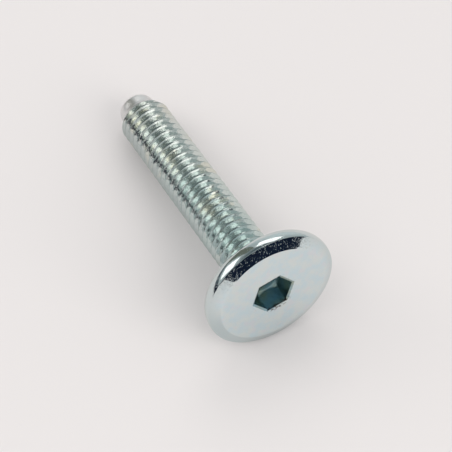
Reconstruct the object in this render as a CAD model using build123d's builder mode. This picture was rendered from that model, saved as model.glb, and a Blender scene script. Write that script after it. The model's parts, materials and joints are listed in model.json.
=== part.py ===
"""Furniture connector bolt, lying on its side as it comes to rest.

One cold-headed, thread-rolled steel piece: a wide flat head with a bevelled front and a
rounded rim, a hexagon socket, a short plain neck, a coarse metric thread along the whole
shank and a plain point with a rounded end. It screws into a barrel nut in furniture.

The floor is z = 0. The bolt lies along X with its head at +X. It rests on the rim of the
head and on the last full crest of the thread, so its axis leans down towards the point.
Lengths are in millimetres. Depths run along the axis from the front of the head.
"""

import os
from math import asin, atan, atan2, cos, degrees, hypot, radians, sin, sqrt, tan

from build123d import *

# Head
HEAD_DIAMETER = 15.0
HEAD_HEIGHT = 2.1
FACE_DIAMETER = 12.3  # flat front, inside the bevel
BEVEL_DEPTH = 0.54
RIM_DEPTH = 1.0  # where the rounded rim is widest
RIM_ROUND = 1.6  # radius of the rim's bulge
BACK_ROUND = 0.2  # between the rim and the underside

# Hexagon socket
KEY_SIZE = 4.05  # across flats, for a 4 mm key
MOUTH_SIZE = 4.3  # across flats, where the mouth is eased
MOUTH_DEPTH = 0.12
SOCKET_DEPTH = 2.0  # to where the corners end
SOCKET_FLOOR_DEPTH = 2.5
SOCKET_TURN = 21.4  # degrees from the bolt's highest line to a corner

# Shank
THREAD_DIAMETER = 5.9
PITCH = 1.0
NECK_LENGTH = 1.0  # plain, under the head
NECK_FILLET = 0.35
THREAD_END = 30.4  # depth of the last full crest
THREAD_CHAMFER = 0.9  # length of the cone from the last crest to the point
POINT_DIAMETER = 4.2
POINT_LENGTH = 1.85  # with its rounded end
POINT_ROUND = 0.85

# Thread form
FLANK_ANGLE = radians(30)  # between a flank and the radius
THREAD_DEPTH = 0.6134 * PITCH
CREST_WIDTH = PITCH / 6
CUTTER_OVERLAP = 0.08 * PITCH  # how far the groove's cutter stands out of the thread

# Radii and depths
head_radius = HEAD_DIAMETER / 2
face_radius = FACE_DIAMETER / 2
thread_radius = THREAD_DIAMETER / 2
root_radius = thread_radius - THREAD_DEPTH
neck_radius = thread_radius - THREAD_DEPTH / 2  # the blank that the thread is rolled on
point_radius = POINT_DIAMETER / 2
socket_corner = KEY_SIZE / 2 / cos(radians(30))
socket_floor = socket_corner - (SOCKET_FLOOR_DEPTH - SOCKET_DEPTH)
thread_start = HEAD_HEIGHT + NECK_LENGTH
point_start = THREAD_END + THREAD_CHAMFER
total_length = point_start + POINT_LENGTH

# The bevel and the underside end on the arc of the rim's bulge
rim_centre = head_radius - RIM_ROUND
bevel_radius = rim_centre + sqrt(RIM_ROUND**2 - (RIM_DEPTH - BEVEL_DEPTH) ** 2)
back_radius = rim_centre + sqrt(RIM_ROUND**2 - (HEAD_HEIGHT - RIM_DEPTH) ** 2)

# Half widths of the groove at its root and where its cutter stands clear
flank_slope = tan(FLANK_ANGLE)
groove_mouth = (PITCH - CREST_WIDTH) / 2
groove_bottom = groove_mouth - THREAD_DEPTH * flank_slope
groove_top = groove_mouth + CUTTER_OVERLAP * flank_slope
cutter_height = THREAD_DEPTH + CUTTER_OVERLAP

# Rest: one floor line touches the rim's arc and the edge of the last full crest
run = THREAD_END - RIM_DEPTH
rise = rim_centre - thread_radius
tilt = atan2(rise, run) + asin(RIM_ROUND / hypot(rise, run))
face_height = RIM_DEPTH * sin(tilt) + rim_centre * cos(tilt) + RIM_ROUND

# The origin is under the middle of the bolt's length
front_reach = face_radius * sin(tilt)
point_reach = (
    (total_length - POINT_ROUND) * cos(tilt)
    + (point_radius - POINT_ROUND) * sin(tilt)
    + POINT_ROUND
)
face_centre = Vector((point_reach - front_reach) / 2, 0, face_height)
along = Vector(-cos(tilt), 0, -sin(tilt))  # from the head to the point
upward = Vector(-sin(tilt), 0, cos(tilt))
centre_line = Axis(face_centre, along)
face_plane = Plane(face_centre, x_dir=upward, z_dir=along)
section_plane = Plane(face_centre, x_dir=upward, z_dir=(0, -1, 0))  # x radius, y depth

# The punch that forms the socket: six flats, a coned nose and a flare at the mouth
with BuildPart() as socket_punch:
    with BuildSketch(face_plane):
        RegularPolygon(KEY_SIZE / 2, 6, major_radius=False, rotation=SOCKET_TURN)
    extrude(amount=SOCKET_FLOOR_DEPTH)
    with BuildSketch(section_plane):
        with BuildLine():
            Polyline(
                (0, 0),
                (socket_corner + SOCKET_DEPTH, 0),
                (socket_floor, SOCKET_FLOOR_DEPTH),
                (0, SOCKET_FLOOR_DEPTH),
                close=True,
            )
        make_face()
    revolve(axis=centre_line, mode=Mode.INTERSECT)
    with BuildSketch(face_plane):
        RegularPolygon(MOUTH_SIZE / 2, 6, major_radius=False, rotation=SOCKET_TURN)
    flare = degrees(atan2((MOUTH_SIZE - KEY_SIZE) / 2, MOUTH_DEPTH))
    extrude(amount=MOUTH_DEPTH, taper=flare)

# The thread's groove, one turn to each stretch of its helix. Every stretch starts on the
# bolt's lowest line. The turn next to the neck climbs out, as a rolled thread runs out.
with BuildPart() as thread_groove:
    full_turns = int((THREAD_END - thread_start) / PITCH) + 1
    last_groove = THREAD_END - (CREST_WIDTH + PITCH) / 2
    groove_start = last_groove - (full_turns - 2) * PITCH
    runout = atan((neck_radius - root_radius + CUTTER_OVERLAP) / PITCH)
    runout_radius = root_radius + PITCH * tan(runout)
    runout_centre = face_plane.offset(groove_start - PITCH).origin
    with BuildLine() as winding:
        Helix(PITCH / cos(runout), PITCH, runout_radius, runout_centre, along, -degrees(runout))
        for turn in range(full_turns):
            turn_centre = runout_centre + along * PITCH * (turn + 1)
            Helix(PITCH, PITCH, root_radius, turn_centre, along)
    path = winding.wires()[0]
    outward = path @ 0 - runout_centre
    with BuildSketch(Plane(path @ 0, x_dir=outward, z_dir=path % 0)):
        with BuildLine():
            Polyline(
                (0, -groove_bottom),
                (cutter_height, -groove_top),
                (cutter_height, groove_top),
                (0, groove_bottom),
                close=True,
            )
        make_face()
    sweep(path=path, is_frenet=True)

with BuildPart() as connector_bolt:
    with BuildSketch(section_plane) as outline:
        with BuildLine():
            Polyline((0, 0), (face_radius, 0), (bevel_radius, BEVEL_DEPTH))
            ThreePointArc(
                (bevel_radius, BEVEL_DEPTH),
                (head_radius, RIM_DEPTH),
                (back_radius, HEAD_HEIGHT),
            )
            Polyline(
                (back_radius, HEAD_HEIGHT),
                (neck_radius, HEAD_HEIGHT),
                (neck_radius, thread_start),
                (thread_radius, thread_start + thread_radius - neck_radius),
                (thread_radius, THREAD_END),
                (point_radius, point_start),
                (point_radius, total_length),
                (0, total_length),
                (0, 0),
            )
        make_face()
        rounded_corners = [
            ((back_radius, HEAD_HEIGHT), BACK_ROUND),
            ((neck_radius, HEAD_HEIGHT), NECK_FILLET),
            ((point_radius, total_length), POINT_ROUND),
        ]
        for corner, radius in rounded_corners:
            fillet(outline.vertices().sort_by_distance(corner)[0], radius)
    revolve(axis=centre_line)
    add(socket_punch.part, mode=Mode.SUBTRACT)
    add(thread_groove.part, mode=Mode.SUBTRACT)

connector_bolt.part.label = "connector_bolt"
os.makedirs("parts", exist_ok=True)
export_step(connector_bolt.part, "parts/connector_bolt.step")
print(f"leans {degrees(tilt):.2f} degrees, {total_length:.2f} mm from face to point")
print(f"{connector_bolt.part.volume:.1f} cubic mm in {len(connector_bolt.solids())} solid")
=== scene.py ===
# %% [markdown]
# # A furniture connector bolt
#
# This lesson dresses one zinc-plated connector bolt: the kind that is driven with a
# hexagon key through a panel into a barrel nut. The real one starts as a piece of wire.
# A die upsets one end into the wide head, a punch presses the socket, and two flat dies
# roll the thread. So the bolt is one piece of steel, and here it becomes one closed mesh.
#
# Booleans could cut it from simple solids, but they leave long thin faces that shade
# badly on polished metal. Here nearly the whole skin is rows and columns of four-sided
# faces. They shade evenly, and an edge can have the small round that catches the light.
#
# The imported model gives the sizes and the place. Everything below is in metres, with
# +Z up from the floor and the head towards +X.

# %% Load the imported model
import json
import random

import bmesh
import bpy
from math import atan2, ceil, cos, degrees, pi, radians, sin, sqrt, tan
from mathutils import Matrix, Vector


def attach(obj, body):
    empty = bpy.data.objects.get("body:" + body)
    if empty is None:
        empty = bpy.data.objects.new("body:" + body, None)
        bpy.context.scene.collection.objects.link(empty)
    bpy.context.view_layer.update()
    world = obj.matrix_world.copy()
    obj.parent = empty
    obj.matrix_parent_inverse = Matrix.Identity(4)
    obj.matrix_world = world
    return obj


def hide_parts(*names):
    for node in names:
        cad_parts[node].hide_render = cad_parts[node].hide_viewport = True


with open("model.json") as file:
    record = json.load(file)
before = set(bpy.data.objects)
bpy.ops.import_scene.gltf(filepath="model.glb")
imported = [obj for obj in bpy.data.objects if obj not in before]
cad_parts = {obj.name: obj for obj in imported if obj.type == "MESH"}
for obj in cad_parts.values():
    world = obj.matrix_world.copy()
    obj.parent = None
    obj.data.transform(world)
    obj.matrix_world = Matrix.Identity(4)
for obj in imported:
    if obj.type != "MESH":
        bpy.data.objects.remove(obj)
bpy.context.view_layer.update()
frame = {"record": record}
mounts = {mount["name"]: mount for mount in frame["record"]["mounts"]}
MM = 0.001

# %% [markdown]
# ## Where the bolt lies
#
# The bolt rests on the rim of its head and on its last full thread, so its axis leans.
# The record's mounts say where: the socket sits in the middle of the front of the head
# and points out of it, and the pilot point lies on the axis at the other end. One matrix
# turns "bolt space" into the model's frame. In bolt space z runs from the front of the
# head to the point and x points up. The angle about z starts at the top and runs
# clockwise, as seen from the head.

# %% Find the axis and build the matrix
face_centre = Vector(mounts["hex_socket"]["pos_m"])
along = -Vector(mounts["hex_socket"]["axis"]).normalized()
sideways = Vector((0, 1, 0))
upward = sideways.cross(along)
lean = Matrix((upward, sideways, along)).transposed().to_4x4()
to_model = Matrix.Translation(face_centre) @ lean
print("axis leans", round(degrees(atan2(-along.z, -along.x)), 2), "degrees")

# %% [markdown]
# ## Sizes
#
# Thread and point sizes come from the mounts. The rest are the maker's sizes of this
# head and socket. An apothem is the distance from the middle of a hexagon to a flat, so
# it is half the size across flats. `SIDES` is how many columns go round the bolt. It is a
# multiple of six, so that the six corners of the socket each fall on a column.

# %% Name the sizes
SIDES = 96
HEAD_RADIUS = 7.5 * MM
HEAD_HEIGHT = 2.1 * MM
FACE_RADIUS = 6.15 * MM
BEVEL_DEPTH = 0.54 * MM
RIM_DEPTH = 1.0 * MM
RIM_ROUND = 1.6 * MM
BACK_ROUND = 0.2 * MM
KEY_APOTHEM = 2.025 * MM
MOUTH_APOTHEM = 2.19 * MM
MOUTH_DEPTH = 0.12 * MM
LIP_APOTHEM = 2.28 * MM
LIP_DEPTH = 0.035 * MM
SOCKET_DEPTH = 2.0 * MM
SOCKET_FLOOR = 2.5 * MM
SOCKET_TURN = radians(21.4)
PITCH = 1.0 * MM
CREST_WIDTH = PITCH / 6
THREAD_DEPTH = 0.6134 * PITCH
FLANK_ANGLE = radians(30)
NECK_FILLET = 0.35 * MM
POINT_ROUND = 0.85 * MM
WELD = 0.002 * MM  # points nearer to each other than this become one

# %% Measure the rest from the mounts
thread_radius = mounts["thread"]["dims"]["r_mm"] * MM
thread_length = mounts["thread"]["dims"]["length_mm"] * MM
thread_middle = (Vector(mounts["thread"]["pos_m"]) - face_centre).dot(along)
crest_end = thread_middle + thread_length / 2
point_radius = mounts["pilot_point"]["dims"]["r_mm"] * MM
point_straight = mounts["pilot_point"]["dims"]["length_mm"] * MM
point_middle = (Vector(mounts["pilot_point"]["pos_m"]) - face_centre).dot(along)
point_start = point_middle - point_straight / 2
point_end = point_middle + point_straight / 2 + POINT_ROUND
neck_radius = thread_radius - THREAD_DEPTH / 2
corner_radius = KEY_APOTHEM / cos(pi / 6)
neck_end = HEAD_HEIGHT + 0.5 * MM
print(f"thread ends at {crest_end / MM:.2f}, point ends at {point_end / MM:.2f} mm")

# %% [markdown]
# ## The rolled thread
#
# A rolled thread follows one rule: go once round and the profile has moved on by one
# pitch. Sweeping a profile along a helix would leave two raw ends to patch. Here a flat
# grid is bent round the shank instead, with its rows slanted by one pitch a turn, so that
# every row of points follows the helix and no crest is stepped. Geometry Nodes suit this,
# because the radius at each point is a short formula.
#
# A formula is long when it is drawn as nodes, so the tree is written in code, with a
# helper for each kind of node. The sizes are named inputs of the tree. Anyone can turn
# them in the modifier panel, and a test with a finer pitch is one number away.

# %% Helpers that write node formulas
def new_tree(name, inputs):
    """A geometry node group with named inputs. Returns the tree and its input sockets."""
    tree = bpy.data.node_groups.new(name, "GeometryNodeTree")
    for label, kind, value in inputs:
        socket = tree.interface.new_socket(label, in_out="INPUT", socket_type=kind)
        if value is not None:
            socket.default_value = value
    tree.interface.new_socket("Geometry", in_out="OUTPUT", socket_type="NodeSocketGeometry")
    group_in = tree.nodes.new("NodeGroupInput")
    return tree, group_in.outputs


def feed(tree, socket, value):
    """Link a socket, or set its own value."""
    if isinstance(value, bpy.types.NodeSocket):
        tree.links.new(value, socket)
    else:
        socket.default_value = value


def calc(tree, operation, *values):
    """One Math node."""
    node = tree.nodes.new("ShaderNodeMath")
    node.operation = operation
    for socket, value in zip(node.inputs, values):
        feed(tree, socket, value)
    return node.outputs[0]


def ramp_value(tree, value, low, high, start, end, smooth=False):
    """One clamped Map Range node."""
    node = tree.nodes.new("ShaderNodeMapRange")
    node.interpolation_type = "SMOOTHSTEP" if smooth else "LINEAR"
    for socket, number in zip(node.inputs, (value, low, high, start, end)):
        feed(tree, socket, number)
    return node.outputs[0]


print("helpers: new_tree, feed, calc, ramp_value")

# %% [markdown]
# ### Rows along the helix
#
# The grid's x becomes the angle and its y the place along the bolt. Two spare turns of
# rows run past the ends. They are pressed flat against the first and the last ring, where
# a later node merges them, so that both ends of the thread are clean circles.

# %% From a flat grid to angles and depths
SPARE_TURNS = 2.0
turns_of_rows = ceil((point_start - neck_end) / PITCH) + SPARE_TURNS


def slanted_rows(tree, size, half_crest):
    """The grid's mesh, and each point's angle, depth and the depth of a crest there."""
    grid = tree.nodes.new("GeometryNodeMeshGrid")
    feed(tree, grid.inputs["Vertices X"], calc(tree, "ADD", size["Sides"], 1.0))
    all_rows = calc(tree, "MULTIPLY", size["Rows"], size["Turns"])
    feed(tree, grid.inputs["Vertices Y"], calc(tree, "ADD", all_rows, 1.0))
    split = tree.nodes.new("ShaderNodeSeparateXYZ")
    feed(tree, split.inputs[0], tree.nodes.new("GeometryNodeInputPosition").outputs[0])

    # The angle about the axis, and how many turns the crest has climbed by there
    turned = calc(tree, "ADD", split.outputs["X"], 0.5)
    angle = calc(tree, "MULTIPLY_ADD", turned, 2 * pi, size["Start Angle"])
    climbed = calc(tree, "DIVIDE", calc(tree, "SUBTRACT", angle, pi), 2 * pi)

    # The crest that ends the thread, on the line where the bolt rests, counts as zero
    last_crest = calc(tree, "SUBTRACT", size["Crest End"], half_crest)
    crest_here = calc(tree, "MULTIPLY_ADD", climbed, size["Pitch"], last_crest)
    row = calc(tree, "MULTIPLY", calc(tree, "ADD", split.outputs["Y"], 0.5), size["Turns"])
    turns_back = calc(tree, "SUBTRACT", row, calc(tree, "SUBTRACT", size["Turns"], SPARE_TURNS))
    slanted = calc(tree, "MULTIPLY_ADD", turns_back, size["Pitch"], crest_here)
    depth = calc(tree, "MINIMUM", calc(tree, "MAXIMUM", slanted, size["Start"]), size["Finish"])
    return grid.outputs["Mesh"], angle, depth, crest_here


print("turns of rows:", turns_of_rows)

# %% [markdown]
# ### The profile
#
# A metric thread has flanks at 30 degrees to the radius, a narrow flat crest and a
# rounded root. Smooth minimum and maximum nodes round both, as worn dies do.
#
# Rolling dies squeeze metal up from both flanks. The two lips meet at the crest and often
# leave a fine seam there. That seam is in the formula too, with a little unevenness.

# %% The tooth, its seam and its ends
NOISE_RADIUS = 3.0  # in pitches, about the radius of the bolt itself
NOISE_SCALE = 1.7
NOISE_DETAIL = 3.0


def tooth_radius(tree, size, half_crest, off_crest):
    """Radius of the rolled profile at a distance from the nearest crest."""
    past_crest = calc(tree, "SUBTRACT", off_crest, half_crest)
    fall = calc(tree, "DIVIDE", past_crest, calc(tree, "TANGENT", size["Flank Angle"]))
    flank = calc(tree, "SUBTRACT", size["Crest Radius"], fall)
    tooth = calc(tree, "SMOOTH_MAX", flank, size["Root Radius"], size["Root Rounding"])
    return calc(tree, "SMOOTH_MIN", tooth, size["Crest Radius"], size["Softness"])


def rolling_marks(tree, size, tooth, angle, depth, off_crest):
    """The tooth with a seam that comes and goes, and with faces that aren't quite even."""
    # The noise is read on a cylinder, so it has no join where the angle starts again
    place = tree.nodes.new("ShaderNodeCombineXYZ")
    across = calc(tree, "MULTIPLY", calc(tree, "COSINE", angle), NOISE_RADIUS)
    feed(tree, place.inputs[0], across)
    across = calc(tree, "MULTIPLY", calc(tree, "SINE", angle), NOISE_RADIUS)
    feed(tree, place.inputs[1], across)
    feed(tree, place.inputs[2], calc(tree, "DIVIDE", depth, size["Pitch"]))
    uneven = tree.nodes.new("ShaderNodeTexNoise")
    uneven.inputs["Scale"].default_value = NOISE_SCALE
    uneven.inputs["Detail"].default_value = NOISE_DETAIL
    feed(tree, uneven.inputs["Vector"], place.outputs[0])
    wander = calc(tree, "SUBTRACT", uneven.outputs[0], 0.5)
    near_seam = calc(tree, "SUBTRACT", 1.0, calc(tree, "DIVIDE", off_crest, size["Seam Width"]))
    seam = calc(tree, "MULTIPLY", calc(tree, "MAXIMUM", near_seam, 0.0), size["Seam Depth"])
    seam = calc(tree, "MULTIPLY", seam, ramp_value(tree, wander, -0.25, 0.15, 0.15, 1.0))
    tooth = calc(tree, "SUBTRACT", tooth, seam)
    dents = calc(tree, "MULTIPLY", uneven.outputs[0], size["Unevenness"])
    return calc(tree, "SUBTRACT", tooth, dents)


def trimmed(tree, size, tooth, depth):
    """The tooth fades out at the neck, and a cone cuts it down to the point."""
    run_out_end = calc(tree, "ADD", size["Start"], size["Run Out"])
    fade = ramp_value(tree, depth, size["Start"], run_out_end, 0.0, 1.0, smooth=True)
    height = calc(tree, "SUBTRACT", tooth, size["Neck Radius"])
    faded = calc(tree, "MULTIPLY_ADD", height, fade, size["Neck Radius"])
    cone = ramp_value(
        tree, depth, size["Crest End"], size["Finish"], size["Crest Radius"], size["Point Radius"]
    )
    return calc(tree, "MINIMUM", faded, cone)


print("profile helpers: tooth_radius, rolling_marks, trimmed")

# %% [markdown]
# ### The tree
#
# The tree puts the parts together: grid, angle, depth and radius give each point its
# place. It ends with Realize Instances and Set Material, so that what comes out is plain
# geometry with its look already on it.

# %% Build the thread's tree
THREAD_INPUTS = [
    ("Sides", "NodeSocketInt", SIDES),
    ("Rows", "NodeSocketInt", 24),
    ("Turns", "NodeSocketFloat", turns_of_rows),
    ("Start Angle", "NodeSocketFloat", SOCKET_TURN),
    ("Pitch", "NodeSocketFloat", PITCH),
    ("Crest Radius", "NodeSocketFloat", thread_radius),
    ("Root Radius", "NodeSocketFloat", thread_radius - THREAD_DEPTH),
    ("Root Rounding", "NodeSocketFloat", 0.12 * MM),
    ("Flank Angle", "NodeSocketFloat", FLANK_ANGLE),
    ("Neck Radius", "NodeSocketFloat", neck_radius),
    ("Point Radius", "NodeSocketFloat", point_radius),
    ("Crest Width", "NodeSocketFloat", CREST_WIDTH),
    ("Seam Depth", "NodeSocketFloat", 0.06 * MM),
    ("Seam Width", "NodeSocketFloat", 0.07 * MM),
    ("Softness", "NodeSocketFloat", 0.045 * MM),
    ("Unevenness", "NodeSocketFloat", 0.02 * MM),
    ("Start", "NodeSocketFloat", neck_end),
    ("Run Out", "NodeSocketFloat", 1.6 * MM),
    ("Crest End", "NodeSocketFloat", crest_end),
    ("Finish", "NodeSocketFloat", point_start),
    ("Material", "NodeSocketMaterial", None),
]


def thread_tree():
    """The whole thread in bolt space, from a flat grid to realized geometry."""
    tree, size = new_tree("rolled thread", THREAD_INPUTS)
    half_crest = calc(tree, "MULTIPLY", size["Crest Width"], 0.5)
    mesh, angle, depth, crest_here = slanted_rows(tree, size, half_crest)
    phase = calc(tree, "DIVIDE", calc(tree, "SUBTRACT", depth, crest_here), size["Pitch"])
    off_crest = calc(tree, "MULTIPLY", calc(tree, "PINGPONG", phase, 0.5), size["Pitch"])
    tooth = tooth_radius(tree, size, half_crest, off_crest)
    tooth = rolling_marks(tree, size, tooth, angle, depth, off_crest)
    radius = trimmed(tree, size, tooth, depth)

    bent = tree.nodes.new("ShaderNodeCombineXYZ")
    feed(tree, bent.inputs[0], calc(tree, "MULTIPLY", radius, calc(tree, "COSINE", angle)))
    feed(tree, bent.inputs[1], calc(tree, "MULTIPLY", radius, calc(tree, "SINE", angle)))
    feed(tree, bent.inputs[2], depth)
    place_points = tree.nodes.new("GeometryNodeSetPosition")
    feed(tree, place_points.inputs["Geometry"], mesh)
    feed(tree, place_points.inputs["Position"], bent.outputs[0])
    merge = tree.nodes.new("GeometryNodeMergeByDistance")
    feed(tree, merge.inputs["Geometry"], place_points.outputs[0])
    merge.inputs["Distance"].default_value = WELD
    realize = tree.nodes.new("GeometryNodeRealizeInstances")
    feed(tree, realize.inputs[0], merge.outputs[0])
    coat = tree.nodes.new("GeometryNodeSetMaterial")
    feed(tree, coat.inputs["Geometry"], realize.outputs[0])
    feed(tree, coat.inputs["Material"], size["Material"])
    group_out = tree.nodes.new("NodeGroupOutput")
    feed(tree, group_out.inputs[0], coat.outputs[0])
    return tree


thread_nodes = thread_tree()
print("thread tree has", len(thread_nodes.nodes), "nodes")

# %% [markdown]
# ## Zinc plate
#
# Zinc plate on a cold-headed bolt is a thin bright layer with a faint blue cast. It is a
# metal, so nearly all of its look is reflection: the base colour only tints it. What keeps
# it from looking like chrome is that no two parts of the bolt are alike. The polished face
# has weak clouds of blue, straw and pink from the clear passivation. The bevel is greyer
# and has fine specks, and painted shade darkens it low on the left. The shank was squeezed
# by the dies, so it is wavy, stained and a little dusty. Painted shade darkens its left
# side and the seam along its crests. The socket is dull, and its colour is darkened as
# painted shade for the recess. The dies never touched the point, which stays pale and matt.
#
# An image could hold all that, but it would have to be painted and unwrapped. Here every
# part is found from its place on the bolt: the angle about the axis, the distance from
# it and the depth below the front. Each is a few nodes on Object coordinates.

# %% Helpers for masks
def noise(tree, where, scale, detail, roughness=0.5):
    """Value of a Noise Texture on Object coordinates. The scale is in waves per millimetre."""
    node = tree.nodes.new("ShaderNodeTexNoise")
    node.inputs["Scale"].default_value = scale / MM
    node.inputs["Detail"].default_value = detail
    node.inputs["Roughness"].default_value = roughness
    feed(tree, node.inputs["Vector"], where)
    return node.outputs[0]


def patches(tree, where, scale, detail, low, high, start=0.0, end=1.0, smooth=False):
    """Noise cut into patches: `start` where it is below `low`, `end` where above `high`."""
    return ramp_value(tree, noise(tree, where, scale, detail), low, high, start, end, smooth)


def product(tree, first, *others):
    """Several masks multiplied."""
    for other in others:
        first = calc(tree, "MULTIPLY", first, other)
    return first


def facing(tree, angle, side):
    """How near an angle is to one side of the bolt: 1 there, 0 a quarter turn away."""
    return calc(tree, "COSINE", calc(tree, "SUBTRACT", angle, side))


print("mask helpers: noise, patches, product, facing")

# %% Helpers for colour and relief
def blend_colours(tree, factor, first, second):
    """One Mix node for colours."""
    node = tree.nodes.new("ShaderNodeMix")
    node.data_type = "RGBA"
    feed(tree, node.inputs[0], factor)
    for socket, value in zip((node.inputs[6], node.inputs[7]), (first, second)):
        if isinstance(value, bpy.types.NodeSocket):
            tree.links.new(value, socket)
        else:
            socket.default_value = (*value, 1.0)
    return node.outputs[2]


def bumped(tree, height, distance, normal=None):
    """One Bump node. The height times the distance is the true relief in metres."""
    node = tree.nodes.new("ShaderNodeBump")
    node.inputs["Strength"].default_value = 1.0
    node.inputs["Distance"].default_value = distance
    feed(tree, node.inputs["Height"], height)
    if normal is not None:
        tree.links.new(normal, node.inputs["Normal"])
    return node.outputs[0]


print("shader helpers: blend_colours, bumped")

# %% [markdown]
# ### Where on the bolt
#
# A Mapping node with the same matrix as before, used backwards, turns Object coordinates
# into bolt space. From there the masks follow. The mouth of the socket was torn on one
# side when the punch was drawn out, and that side has a mask of its own.

# %% Place on the bolt, and masks for its parts
TORN_SIDE = radians(165)
under_head = HEAD_HEIGHT + 0.6 * MM


def bolt_space(tree):
    """Place, angle and radius about the axis, and depth below the front of the head."""
    mapping = tree.nodes.new("ShaderNodeMapping")
    mapping.vector_type = "TEXTURE"
    mapping.inputs["Location"].default_value = to_model.translation
    mapping.inputs["Rotation"].default_value = to_model.to_euler()
    feed(tree, mapping.inputs["Vector"], tree.nodes.new("ShaderNodeTexCoord").outputs["Object"])
    split = tree.nodes.new("ShaderNodeSeparateXYZ")
    feed(tree, split.inputs[0], mapping.outputs[0])
    across = calc(tree, "MULTIPLY", split.outputs["X"], split.outputs["X"])
    across = calc(tree, "MULTIPLY_ADD", split.outputs["Y"], split.outputs["Y"], across)
    angle = calc(tree, "ARCTAN2", split.outputs["Y"], split.outputs["X"])
    return mapping.outputs[0], angle, calc(tree, "SQRT", across), split.outputs["Z"]


def masks(tree, where, angle, radius, depth):
    """Masks for the shank, the socket, the torn side of its mouth, and the point."""
    shank = ramp_value(tree, depth, HEAD_HEIGHT, under_head, 0.0, 1.0)

    # The socket starts a little below the lip, along a ragged line
    mouth_edge = corner_radius + 0.35 * MM
    inside = ramp_value(tree, radius, mouth_edge, mouth_edge + 0.05 * MM, 1.0, 0.0)
    ragged = calc(tree, "MULTIPLY_ADD", noise(tree, where, 5.0, 2.0), 0.05 * MM, depth)
    sunk = ramp_value(tree, ragged, 0.03 * MM, 0.045 * MM, 0.0, 1.0)
    in_head = ramp_value(tree, depth, under_head, under_head + 0.1 * MM, 1.0, 0.0)
    socket = product(tree, inside, sunk, in_head)

    torn = ramp_value(tree, facing(tree, angle, TORN_SIDE), 0.8, 0.93, 0.0, 1.0)
    near_mouth = ramp_value(tree, radius, 2.5 * MM, 2.8 * MM, 1.0, 0.0)
    shallow = ramp_value(tree, depth, MOUTH_DEPTH, 2 * MOUTH_DEPTH, 1.0, 0.0)
    torn = product(tree, torn, near_mouth, shallow)

    point = ramp_value(tree, depth, point_start - 0.1 * MM, point_start + 0.1 * MM, 0.0, 1.0)
    return shank, socket, torn, point


print("masks: shank, socket, torn mouth, point")

# %% [markdown]
# ### Tones
#
# The tones are laid over each other from the widest to the smallest, each with its mask.
# On a metal the base colour is what a white lamp looks like in it, so a stain is a darker
# or greener mirror and not a coat of paint.

# %% Tones of the head
BLUE_FILM = (0.71, 0.86, 0.93)
STRAW_FILM = (0.80, 0.88, 0.89)
PINK_FILM = (0.83, 0.83, 0.89)
HEAD_EDGE = (0.67, 0.755, 0.77)
# painted shade: the colour of the edge low on the left, standing in for the shadowed paper it
# reflects
EDGE_PAINTED_SHADE = (0.60, 0.70, 0.73)
LOWER_LEFT = radians(-140)


def face_tone(tree, where):
    """Weak clouds of colour from the clear passivation."""
    clouds = noise(tree, where, 0.6, 5.0, 0.65)
    straw = ramp_value(tree, clouds, 0.38, 0.62, 0.0, 1.0, smooth=True)
    film = blend_colours(tree, straw, BLUE_FILM, STRAW_FILM)
    pink = patches(tree, where, 0.9, 1.0, 0.54, 0.68, 0.0, 0.45, smooth=True)
    return blend_colours(tree, pink, film, PINK_FILM)


def edge_tone(tree, colour, angle, depth):
    """The edge of the head is greyer than its polished face, and painted shade darkens it low on the
    left.
    """
    edge = ramp_value(tree, depth, 0.03 * MM, BEVEL_DEPTH, 0.0, 0.8)
    colour = blend_colours(tree, edge, colour, HEAD_EDGE)
    # Painted shade: low on the left the edge is darkened, standing in for the shadowed paper it
    # reflects
    painted_low_shade = ramp_value(tree, facing(tree, angle, LOWER_LEFT), 0.3, 0.9, 0.0, 0.8, smooth=True)
    off_face = ramp_value(tree, depth, 0.02 * MM, 0.08 * MM, 0.0, 1.0)
    return blend_colours(tree, product(tree, painted_low_shade, off_face), colour, EDGE_PAINTED_SHADE)


print("tones of the head: film on the face, grey edge")

# %% Tones of the shank
SHANK_AT_HEAD = (0.66, 0.78, 0.765)
SHANK_AT_POINT = (0.75, 0.79, 0.765)
# painted shade for the shank's left side
SHANK_PAINTED_SHADE = (0.50, 0.58, 0.60)
TEAL_STAIN = (0.59, 0.70, 0.69)
STRAW_STAIN = (0.78, 0.79, 0.70)
LEFT = radians(-90)


def shank_tone(tree, colour, where, angle, depth, shank):
    """The rolled shank is duller, with teal stains towards the head and straw ones, and painted shade
    on its left side.
    """
    cleaner = ramp_value(tree, depth, HEAD_HEIGHT, crest_end, 0.0, 1.0)
    rolled = blend_colours(tree, cleaner, SHANK_AT_HEAD, SHANK_AT_POINT)
    colour = blend_colours(tree, product(tree, shank, 0.85), colour, rolled)
    # Painted shade: the left side is darkened, standing in for the shadowed paper it reflects
    side = ramp_value(tree, facing(tree, angle, LEFT), 0.82, 0.96, 0.0, 0.6)
    colour = blend_colours(tree, product(tree, side, shank), colour, SHANK_PAINTED_SHADE)
    stain = noise(tree, where, 0.35, 3.0)
    teal = ramp_value(tree, stain, 0.48, 0.6, 0.0, 1.0, smooth=True)
    near_head = ramp_value(tree, depth, HEAD_HEIGHT, crest_end, 1.0, 0.0)
    colour = blend_colours(tree, product(tree, teal, near_head, shank), colour, TEAL_STAIN)
    straw = ramp_value(tree, stain, 0.46, 0.34, 0.0, 0.7, smooth=True)
    return blend_colours(tree, product(tree, straw, shank), colour, STRAW_STAIN)


print("tones of the shank: rolled steel, darker side, teal and straw stains")

# %% [markdown]
# ### Small marks
#
# A painted shade darkens the fine crease of the seam along the crest. Its mask is the thread's own
# rule once
# more: the distance from the nearest crest, which moves on by one pitch a turn. Round
# specks on the bevel are the cells of a Voronoi texture, each with a height of its own.
# Noise cut at a threshold would draw winding worms instead of dots.

# %% Seam lines, socket and flecks
# painted shade in the crease of the crest seam
SEAM_PAINTED_SHADE = (0.22, 0.30, 0.30)
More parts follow.
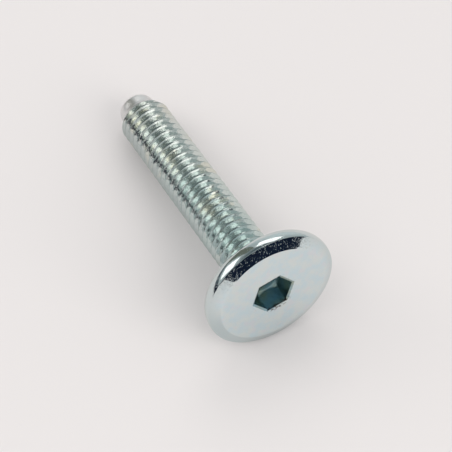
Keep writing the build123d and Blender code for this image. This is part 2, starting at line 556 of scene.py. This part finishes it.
# painted shade for the recess of the socket, in blue and olive patches
SOCKET_SHADE_BLUE = (0.31, 0.47, 0.54)
SOCKET_SHADE_OLIVE = (0.37, 0.45, 0.40)
TORN_METAL = (0.13, 0.11, 0.10)
MATT_POINT = (0.82, 0.83, 0.84)
crest_on_top = crest_end - (CREST_WIDTH + PITCH) / 2  # where the angle is zero


def seam_mask(tree, where, angle, depth, shank):
    """A fine line of painted shade along the crest seam, which breaks off here and there."""
    crest = calc(tree, "MULTIPLY_ADD", angle, PITCH / (2 * pi), crest_on_top)
    off_crest = calc(tree, "PINGPONG", calc(tree, "SUBTRACT", depth, crest), PITCH / 2)
    line = ramp_value(tree, off_crest, 0.015 * MM, 0.05 * MM, 1.0, 0.0)
    broken = patches(tree, where, 1.0, 2.0, 0.35, 0.65, 0.5, 1.0)
    threaded = ramp_value(tree, depth, crest_end, point_start, 1.0, 0.0)
    return product(tree, line, shank, broken, threaded)


def small_marks(tree, colour, where, socket, torn, point):
    """The socket darkened with painted shade for its recess, dark flecks at the torn side of its
    mouth, and the matt point.
    """
    # Painted shade: the socket's colour is darkened to stand in for the shade in its recess
    olive = patches(tree, where, 0.6, 3.0, 0.42, 0.58)
    dull = blend_colours(tree, olive, SOCKET_SHADE_BLUE, SOCKET_SHADE_OLIVE)
    colour = blend_colours(tree, socket, colour, dull)
    flecks = patches(tree, where, 3.5, 2.0, 0.5, 0.56)
    colour = blend_colours(tree, product(tree, torn, flecks), colour, TORN_METAL)
    return blend_colours(tree, point, colour, MATT_POINT)


print("marks: seam line, dull socket, flecks, matt point")

# %% Specks and relief
def specks(tree, where, depth, shank):
    """Height of small round specks. The polished face has none, the shank stronger ones."""
    cells = tree.nodes.new("ShaderNodeTexVoronoi")
    cells.inputs["Scale"].default_value = 7.5 / MM
    feed(tree, cells.inputs["Vector"], where)
    own = tree.nodes.new("ShaderNodeSeparateColor")
    feed(tree, own.inputs[0], cells.outputs["Color"])
    height = ramp_value(tree, own.outputs[0], 0.1, 1.0, 0.0, 0.008 * MM)
    dots = ramp_value(tree, cells.outputs["Distance"], 0.05, 0.4, 1.0, 0.0)
    stronger = calc(tree, "MULTIPLY_ADD", shank, 0.5, 1.0)
    off_face = ramp_value(tree, depth, 0.02 * MM, 0.06 * MM, 0.0, 1.0)
    return product(tree, dots, height, stronger, off_face)


def relief(tree, where, depth, shank, socket, torn):
    """Normals for waves in the steel, the rolled shank, specks and battered places."""
    waves = bumped(tree, noise(tree, where, 0.8, 2.0), 0.003 * MM)
    rolled = product(tree, noise(tree, where, 2.2, 3.0), shank)
    rolled = bumped(tree, rolled, 0.012 * MM, waves)
    battered = patches(tree, where, 0.3, 2.0, 0.4, 0.6, 0.35, 1.0)
    battered = calc(tree, "MAXIMUM", product(tree, battered, shank), socket)
    battered = calc(tree, "MAXIMUM", battered, torn)
    rough = product(tree, noise(tree, where, 3.0, 2.5, 0.55), 0.02 * MM, battered)
    height = calc(tree, "ADD", specks(tree, where, depth, shank), rough)
    return bumped(tree, height, 1.0, rolled)


print("relief: waves, rolled shank, specks, battered places")

# %% [markdown]
# ### The material
#
# One material holds all of it, because the bolt is one piece with one coat. The plate is
# smoothest on the head. Dust makes the shank slightly less of a metal, most of all near
# the head, where hands don't wipe it.

# %% Put the plate together
def zinc_plate():
    """The whole coat: colour, metal, roughness and relief."""
    material = bpy.data.materials.new("zinc plate")
    material.use_nodes = True
    tree = material.node_tree
    shader = tree.nodes["Principled BSDF"]
    where, angle, radius, depth = bolt_space(tree)
    shank, socket, torn, point = masks(tree, where, angle, radius, depth)

    colour = edge_tone(tree, face_tone(tree, where), angle, depth)
    colour = shank_tone(tree, colour, where, angle, depth, shank)
    seam = seam_mask(tree, where, angle, depth, shank)
    # Painted shade: a darker line along the crest seam
    colour = blend_colours(tree, seam, colour, SEAM_PAINTED_SHADE)
    colour = small_marks(tree, colour, where, socket, torn, point)
    feed(tree, shader.inputs["Base Color"], colour)

    dust = ramp_value(tree, depth, HEAD_HEIGHT, crest_end, -0.14, -0.04)
    feed(tree, shader.inputs["Metallic"], calc(tree, "MULTIPLY_ADD", shank, dust, 1.0))
    haze = patches(tree, where, 2.5, 3.0, 0.35, 0.7, 0.035, 0.07)
    for part, extra in ((shank, 0.01), (point, 0.3), (socket, 0.12)):
        haze = calc(tree, "MULTIPLY_ADD", part, extra, haze)
    feed(tree, shader.inputs["Roughness"], haze)
    feed(tree, shader.inputs["Normal"], relief(tree, where, depth, shank, socket, torn))
    return material


plate = zinc_plate()
print("material:", plate.name, "with", len(plate.node_tree.nodes), "nodes")

# %% [markdown]
# ## Rings that close the bolt
#
# The head, the socket and the point each have a profile, so rings of points make them.
# Each ring has a radius and a depth, and the same columns as the thread. A ring in the
# socket isn't round. Its radius follows the hexagon, and on the front of the head
# the rings change little by little from the hexagon to the circle. That keeps the mesh in
# four-sided faces, with no patch between hexagon and circle. The edges of the head and the
# point get rounds of their own, since a real edge is never perfectly sharp and it is the
# round that catches the light.
#
# Beside a round there are extra rings on the flat. Smooth shading spreads the bend of a
# round over the next row of faces, so that row is kept narrow and the flat stays flat.

# %% Ring helpers
def angle_of(column):
    """Angle about the axis at a column."""
    return SOCKET_TURN + 2 * pi * column / SIDES


def all_round(value):
    """The same radius or depth at every column."""
    return [value] * SIDES


def hexagon(apothem):
    """Radius of a hexagon at each column. Its corners fall on columns."""
    sixth = SIDES // 6
    return [apothem / cos(pi / 6 - 2 * pi * (column % sixth) / SIDES) for column in range(SIDES)]


def between(first, second, share):
    """Radii or depths part of the way from one ring to another."""
    return [a + (b - a) * share for a, b in zip(first, second)]


print("ring helpers:", SIDES, "columns,", round(degrees(2 * pi / SIDES), 2), "degrees apart")

# %% [markdown]
# ### Rounded corners
#
# A profile is a short list of corners. A corner may have a round, which is an arc that
# touches both of its sides. The arc's centre lies on the line that halves the corner, and
# the tangent of half the corner's angle says where the arc begins.

# %% Rounded profiles
def rounded_profile(corners):
    """Points of a profile. A corner is (radius, depth), or has its rounding and steps too."""
    points = []
    for index, (radius, depth, *arc) in enumerate(corners):
        here = Vector((radius, depth))
        if not arc:
            points.append(here)
            continue
        rounding, steps = arc
        back = (Vector(corners[index - 1][:2]) - here).normalized()
        ahead = (Vector(corners[index + 1][:2]) - here).normalized()
        half = back.angle(ahead) / 2
        centre = here + (back + ahead).normalized() * rounding / sin(half)
        first = here + back * rounding / tan(half) - centre
        last = here + ahead * rounding / tan(half) - centre
        for step in range(steps + 1):
            points.append(centre + first.slerp(last, step / steps).normalized() * rounding)
    return points


def turned_rings(corners):
    """Round rings along a profile."""
    return [(all_round(radius), all_round(depth)) for radius, depth in rounded_profile(corners)]


print("profile helpers: rounded_profile, turned_rings")

# %% [markdown]
# ## The socket
#
# A punch presses the socket while the head is cold. The punch is a hexagon with a coned
# nose, so the flats end in shallow scallops above the floor. The socket's rings start at
# the floor as circles, climb the cone, turn into hexagons on the way and open at the mouth.

# %% Rings of the socket, from its floor to its mouth
key = hexagon(KEY_APOTHEM)
mouth = hexagon(MOUTH_APOTHEM)
floor_radius = corner_radius - (SOCKET_FLOOR - SOCKET_DEPTH)
cone_foot = all_round(floor_radius)
floor_level = all_round(SOCKET_FLOOR)
mouth_level = all_round(MOUTH_DEPTH)
lip_level = all_round(LIP_DEPTH)
scallops = [corner_radius + SOCKET_DEPTH - radius for radius in key]

socket_rings = [(all_round(floor_radius * share), floor_level) for share in (0.35, 0.7, 0.97)]
socket_rings.append((all_round(floor_radius * 1.03), all_round(SOCKET_FLOOR - 0.05 * MM)))
for share in (0.1, 0.5, 0.9):
    ring_depths = between(floor_level, scallops, share)
    socket_rings.append((between(cone_foot, key, share), ring_depths))
for share in (0.05, 0.3, 0.6, 0.9):
    socket_rings.append((key, between(scallops, mouth_level, share)))
for share in (0.0, 0.35, 0.7):
    ring_depths = between(mouth_level, lip_level, share)
    socket_rings.append((between(key, mouth, share), ring_depths))
print(len(socket_rings), "rings in the socket")

# %% [markdown]
# ### The lip
#
# Metal drags at the mouth when the punch is drawn out, and leaves a ragged burr. Keys have
# polished it away all round but on the torn side. A random number for each column makes
# the burr. Its generator has a fixed seed, so that the bolt is the same on every run.

# %% The lip and its burr
BURR = 0.12 * MM
BURR_COLUMNS = range(31, 49)
POLISHED_SHARE = 0.12

lip = hexagon(LIP_APOTHEM)
chance = random.Random(11)
burr = []
for column in range(SIDES):
    share = 1.0 if column in BURR_COLUMNS else POLISHED_SHARE
    burr.append(BURR * chance.random() * share)
inner_lip = [radius + drag for radius, drag in zip(mouth, burr)]
outer_lip = [radius + drag for radius, drag in zip(lip, burr)]
socket_rings.append((inner_lip, [LIP_DEPTH - 0.4 * drag for drag in burr]))
socket_rings.append((outer_lip, all_round(0.0)))
print("burr of up to", round(max(burr) / MM, 3), "mm on", len(BURR_COLUMNS), "columns")

# %% [markdown]
# ## Head and point
#
# The head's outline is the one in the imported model: flat front, bevel, a bulging rim that
# the die left free, and a flat underside that turns into the neck with a fillet. The point
# is a plain cylinder with a generous round at its end.

# %% Rings of the head
RIM_STEPS = 20
FACE_ROUND = 0.12 * MM
BEVEL_ROUND = 0.05 * MM
rim_centre = HEAD_RADIUS - RIM_ROUND
bevel_radius = rim_centre + sqrt(RIM_ROUND**2 - (RIM_DEPTH - BEVEL_DEPTH) ** 2)
back_radius = rim_centre + sqrt(RIM_ROUND**2 - (HEAD_HEIGHT - RIM_DEPTH) ** 2)
bevel_angle = atan2(RIM_DEPTH - BEVEL_DEPTH, bevel_radius - rim_centre)
back_angle = -atan2(HEAD_HEIGHT - RIM_DEPTH, back_radius - rim_centre)
flat_radius = FACE_RADIUS - 0.6 * MM

head_corners = [(flat_radius, 0.0), (FACE_RADIUS - 0.1 * MM, 0.0)]
head_corners.append((FACE_RADIUS, 0.0, FACE_ROUND, 4))
for share in (0.18, 0.5, 0.9):
    radius = FACE_RADIUS + share * (bevel_radius - FACE_RADIUS)
    head_corners.append((radius, share * BEVEL_DEPTH))
head_corners.append((bevel_radius, BEVEL_DEPTH, BEVEL_ROUND, 3))
for step in range(1, RIM_STEPS):
    turn = bevel_angle + (back_angle - bevel_angle) * step / RIM_STEPS
    radius = rim_centre + RIM_ROUND * cos(turn)
    head_corners.append((radius, RIM_DEPTH - RIM_ROUND * sin(turn)))
head_corners.append((back_radius, HEAD_HEIGHT, BACK_ROUND, 4))
for share in (0.3, 0.6):
    head_corners.append((back_radius + (neck_radius - back_radius) * share, HEAD_HEIGHT))
head_corners.append((neck_radius, HEAD_HEIGHT, NECK_FILLET, 6))
head_corners.append((neck_radius, neck_end))

flat_circle = all_round(flat_radius)
head_rings = [(between(lip, flat_circle, share), all_round(0.0)) for share in (0.04, 0.2, 0.45, 0.72)]
head_rings += turned_rings(head_corners)
print(len(head_rings), "rings in the head")

# %% Rings of the point
point_corners = [
    (point_radius, point_start),
    (point_radius, point_start + 0.5 * point_straight),
    (point_radius, point_end, POINT_ROUND, 12),
    (0.3 * point_radius, point_end),
]
point_rings = turned_rings(point_corners)
print(len(point_rings), "rings in the point")

# %% [markdown]
# ## One closed piece
#
# A tree runs in a modifier, and a modifier needs an object. An empty carrier lends it one.
# The result is copied out as a plain mesh, and the carrier is thrown away. A modifier's
# inputs are set by their identifiers, which the tree's interface lists.

# %% Run the thread tree
def rolled_thread():
    """The thread as a plain mesh in bolt space."""
    carrier = bpy.data.objects.new("thread carrier", bpy.data.meshes.new("thread carrier"))
    bpy.context.scene.collection.objects.link(carrier)
    modifier = carrier.modifiers.new("rolled thread", "NODES")
    modifier.node_group = thread_nodes
    for item in thread_nodes.interface.items_tree:
        if item.in_out == "INPUT" and item.name == "Material":
            modifier[item.identifier] = plate
    shaped = carrier.evaluated_get(bpy.context.evaluated_depsgraph_get())
    mesh = bpy.data.meshes.new_from_object(shaped)
    bpy.data.objects.remove(carrier)
    return mesh


thread_mesh = rolled_thread()
print("thread:", len(thread_mesh.vertices), "points,", len(thread_mesh.polygons), "faces")

# %% [markdown]
# ### Weld it together
#
# The rings on both sides of the thread end exactly on the thread's own first and last
# ring, so merging doubles welds them. A pole closes the floor of the socket and the end of
# the point. The mesh is then moved into the model's frame, with the object itself left at
# the origin. Counting open edges proves that it is closed.

# %% Faces over the rings
def skin(body, rings, pole_depth, pole_first):
    """Faces over a row of rings, closed with a pole at one end."""
    loops = []
    for radii, depths in rings:
        loop = []
        for column, (radius, depth) in enumerate(zip(radii, depths)):
            turn = angle_of(column)
            loop.append(body.verts.new((radius * cos(turn), radius * sin(turn), depth)))
        loops.append(loop)
    for near, far in zip(loops, loops[1:]):
        for i in range(SIDES):
            j = (i + 1) % SIDES
            body.faces.new((near[i], near[j], far[j], far[i]))
    pole = body.verts.new((0.0, 0.0, pole_depth))
    last = loops[0] if pole_first else loops[-1]
    for i in range(SIDES):
        body.faces.new((last[i], last[(i + 1) % SIDES], pole))


print("skin: faces from ring to ring, and a pole at the end")

# %% Join, weld and measure
def closed_mesh():
    """Thread, head, socket and point as one mesh in the model's frame."""
    body = bmesh.new()
    body.from_mesh(thread_mesh)
    skin(body, socket_rings + head_rings, SOCKET_FLOOR, pole_first=True)
    skin(body, point_rings, point_end, pole_first=False)
    bmesh.ops.remove_doubles(body, verts=body.verts, dist=WELD)
    bmesh.ops.dissolve_degenerate(body, edges=body.edges, dist=WELD / 4)
    bmesh.ops.recalc_face_normals(body, faces=body.faces)
    bmesh.ops.transform(body, matrix=to_model, verts=body.verts)
    open_edges = sum(1 for edge in body.edges if not edge.is_manifold)
    triangles = sum(len(face.verts) - 2 for face in body.faces)
    volume = body.calc_volume(signed=True) / MM**3
    print(f"bolt: {triangles} triangles, {open_edges} open edges, {volume:.1f} cubic mm")
    mesh = bpy.data.meshes.new("plated_bolt")
    body.to_mesh(mesh)
    body.free()
    return mesh


bolt_mesh = closed_mesh()

# %% [markdown]
# ### The finished bolt
#
# Smooth shading hides the faces, and edges sharper than a limit stay crisp. Then the piece
# replaces the imported model's node, rides on the part's one body and wears the material
# slot of zinc-plated steel.

# %% Shade the bolt and put it in place
SHARP_ANGLE = radians(50)


def plated_bolt():
    """The bolt as an object at the origin, with its plate on."""
    bolt_mesh.materials.clear()  # the thread's faces forget the slot that the tree gave them
    bolt_mesh.materials.append(plate)
    bolt_mesh.shade_smooth()
    bolt_mesh.set_sharp_from_angle(angle=SHARP_ANGLE)
    piece = bpy.data.objects.new("plated_bolt", bolt_mesh)
    bpy.context.scene.collection.objects.link(piece)
    return piece


bolt = plated_bolt()
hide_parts("connector_bolt")
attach(bolt, "root")
print("piece:", bolt.name, "with", len(bolt.data.polygons), "faces")

# %% [markdown]
# ## The table
#
# The bolt lies on a sheet of white paper. Its reflections show paper far out on the table,
# where a real studio is darker. One Light Path node makes that difference, so no second
# floor is needed.

# %% Floor
FLOOR_REACH = 1.5
PAPER = (0.785, 0.777, 0.785)
REFLECTED_PAPER = (0.70, 0.68, 0.67)


def white_paper():
    """Matt paper that reflections see a little darker."""
    paper = bpy.data.materials.new("white paper")
    paper.use_nodes = True
    tree = paper.node_tree
    shader = tree.nodes["Principled BSDF"]
    reflected = tree.nodes.new("ShaderNodeLightPath").outputs["Is Glossy Ray"]
    feed(tree, shader.inputs["Base Color"], blend_colours(tree, reflected, PAPER, REFLECTED_PAPER))
    shader.inputs["Roughness"].default_value = 0.9
    return paper


def plain_floor():
    """One large square that only the pictures need."""
    mesh = bpy.data.meshes.new("floor")
    signs = [(-1, -1), (1, -1), (1, 1), (-1, 1)]
    corners = [(x * FLOOR_REACH, y * FLOOR_REACH, 0) for x, y in signs]
    mesh.from_pydata(corners, [], [(0, 1, 2, 3)])
    mesh.materials.append(white_paper())
    floor = bpy.data.objects.new("floor", mesh)
    bpy.context.scene.collection.objects.link(floor)


plain_floor()
print("floor:", 2 * FLOOR_REACH, "m square")

# %% [markdown]
# ## The light
#
# Polished metal shows its surroundings, so the studio is most of its look. Each crest of
# the thread bends what it mirrors into a small patch, and the patches line up along the
# bolt. Two large warm soft boxes, at the left and behind, draw two such rows, and a small
# one in front of the head draws a fine row beside them. The size of a box sets how wide
# its row is, and its power sets how bright.
#
# The key and fill lamps light the paper and shape the shadow, and reflections don't see
# them. Without that split, every change of the shadow would move a highlight too.

# %% Soft boxes and lamps
WARM_WHITE = (1.0, 0.92, 0.865)
LAMP_DISTANCE = 0.6


def soft_box(name, azimuth, elevation, width, height, power, mirrored=True):
    """An area light that faces the bolt. Azimuth runs from +X towards +Y, in degrees."""
    lamp = bpy.data.lights.new(name, "AREA")
    lamp.shape = "RECTANGLE"
    lamp.size = width
    lamp.size_y = height
    lamp.energy = power
    lamp.color = WARM_WHITE
    holder = bpy.data.objects.new(name, lamp)
    turn, rise = radians(azimuth), radians(elevation)
    towards = Vector((cos(rise) * cos(turn), cos(rise) * sin(turn), sin(rise)))
    holder.location = towards * LAMP_DISTANCE
    holder.rotation_euler = towards.to_track_quat("Z", "Y").to_euler()
    holder.visible_glossy = mirrored
    bpy.context.scene.collection.objects.link(holder)


soft_box("left soft box", -127, 30, 0.345, 0.33, 0.41)
soft_box("rear soft box", 147, 49, 0.38, 0.27, 0.40)
soft_box("front soft box", 24, 19, 0.24, 0.17, 0.105)
soft_box("key lamp", 20, 36, 0.4, 0.4, 1.1, mirrored=False)
soft_box("fill lamp", -90, 62, 0.4, 0.4, 0.55, mirrored=False)

# %% [markdown]
# ### Dark cards
#
# In a studio, dark card beside polished metal draws a dark line where the shape turns
# down. Four strips stand round the bolt in arcs, each from one azimuth to another. They
# draw the dark band along the bevel and the dark line at the foot of the thread. A card's
# height sets how wide the dark is.

# %% Dark cards
CARD_DISTANCE = 0.09
CARD_STEPS = 48
OLIVE = (0.15, 0.16, 0.13)
GREY = (0.10, 0.12, 0.13)
NIGHT_BLUE = (0.008, 0.013, 0.026)


def even_glow(name, shade):
    """A material that shows its shade whatever light falls on it."""
    card_stock = bpy.data.materials.new(name)
    card_stock.use_nodes = True
    tree = card_stock.node_tree
    tree.nodes.clear()
    glow = tree.nodes.new("ShaderNodeEmission")
    glow.inputs["Color"].default_value = (*shade, 1.0)
    tree.links.new(glow.outputs[0], tree.nodes.new("ShaderNodeOutputMaterial").inputs[0])
    return card_stock


def dark_card(name, first, last, height, shade):
    """A dark strip of card that stands in an arc round the bolt. Only reflections see it."""
    mesh = bpy.data.meshes.new(name)
    width = last - first
    turns = [radians(first + width * step / CARD_STEPS) for step in range(CARD_STEPS + 1)]
    feet = [(CARD_DISTANCE * cos(turn), CARD_DISTANCE * sin(turn)) for turn in turns]
    corners = [(x, y, z) for x, y in feet for z in (0.0, height)]
    strips = [(2 * i, 2 * i + 2, 2 * i + 3, 2 * i + 1) for i in range(CARD_STEPS)]
    mesh.from_pydata(corners, [], strips)
    mesh.materials.append(even_glow(name, shade))
    card = bpy.data.objects.new(name, mesh)
    card.visible_camera = False
    card.visible_diffuse = False
    card.visible_shadow = False
    bpy.context.scene.collection.objects.link(card)


dark_card("olive card", -178, -150, 0.15, OLIVE)
dark_card("grey card", -150, -112, 0.0215, GREY)
dark_card("low card", -112, -6, 0.0225, NIGHT_BLUE)
dark_card("high card", -6, 39, 0.0275, NIGHT_BLUE)
print("four dark cards,", CARD_DISTANCE / MM, "mm from the middle of the bolt")

# %% [markdown]
# ### The room
#
# Between the boxes and above them the metal shows a room. The world shader draws it
# without any geometry: grey walls, a lighter one on the window's side, and a dark ceiling
# that keeps the bright rows apart. Rays that aren't reflections see one even light
# instead, so the paper stays evenly lit.

# %% The room, as reflections and as plain light
WINDOW_AZIMUTH = radians(143)
WALL = (0.42, 0.45, 0.445)
WINDOW_WALL = (0.64, 0.66, 0.65)
CEILING = (0.10, 0.125, 0.13)
EVEN_LIGHT = (0.66, 0.66, 0.66)


def room_light():
    """Reflections see pale walls and a dark ceiling. Everything else gets even light."""
    world = bpy.data.worlds.new("studio")
    world.use_nodes = True
    tree = world.node_tree
    direction = tree.nodes.new("ShaderNodeSeparateXYZ")
    feed(tree, direction.inputs[0], tree.nodes.new("ShaderNodeTexCoord").outputs["Generated"])
    side = calc(tree, "MULTIPLY", direction.outputs["X"], cos(WINDOW_AZIMUTH))
    side = calc(tree, "MULTIPLY_ADD", direction.outputs["Y"], sin(WINDOW_AZIMUTH), side)
    towards = ramp_value(tree, side, 0.75, 1.0, 0.0, 1.0, smooth=True)
    walls = blend_colours(tree, towards, WALL, WINDOW_WALL)
    upwards = ramp_value(tree, direction.outputs["Z"], 0.62, 0.97, 0.0, 1.0, smooth=True)
    room = blend_colours(tree, upwards, walls, CEILING)
    reflected = tree.nodes.new("ShaderNodeLightPath").outputs["Is Glossy Ray"]
    colour = blend_colours(tree, reflected, EVEN_LIGHT, room)
    feed(tree, tree.nodes["Background"].inputs["Color"], colour)
    return world


bpy.context.scene.world = room_light()
print("room:", bpy.context.scene.world.name)

# %% [markdown]
# ## Camera
#
# A long lens from above the head, looking down along the shank. The aim point and the
# distance fix the framing, so the camera is built from them and two angles.

# %% Camera
VIEW_AZIMUTH = radians(61.4)
VIEW_ELEVATION = radians(56.3)
AIM = Vector((8.39, -1.56, 11.54)) * MM
DISTANCE = 192.3 * MM
FOCAL_LENGTH = 145.4
SENSOR_WIDTH = 36.0

flat_run = cos(VIEW_ELEVATION)
looking = Vector(
    (-sin(VIEW_AZIMUTH) * flat_run, cos(VIEW_AZIMUTH) * flat_run, -sin(VIEW_ELEVATION))
)
lens = bpy.data.cameras.new("camera")
lens.lens = FOCAL_LENGTH
lens.sensor_width = SENSOR_WIDTH
lens.clip_start = 10 * MM
camera = bpy.data.objects.new("camera", lens)
camera.location = AIM - looking * DISTANCE
camera.rotation_euler = looking.to_track_quat("-Z", "Y").to_euler()
bpy.context.scene.collection.objects.link(camera)
bpy.context.scene.camera = camera
bpy.context.scene.view_settings.view_transform = "Standard"
print("looking along", [round(v, 3) for v in looking])
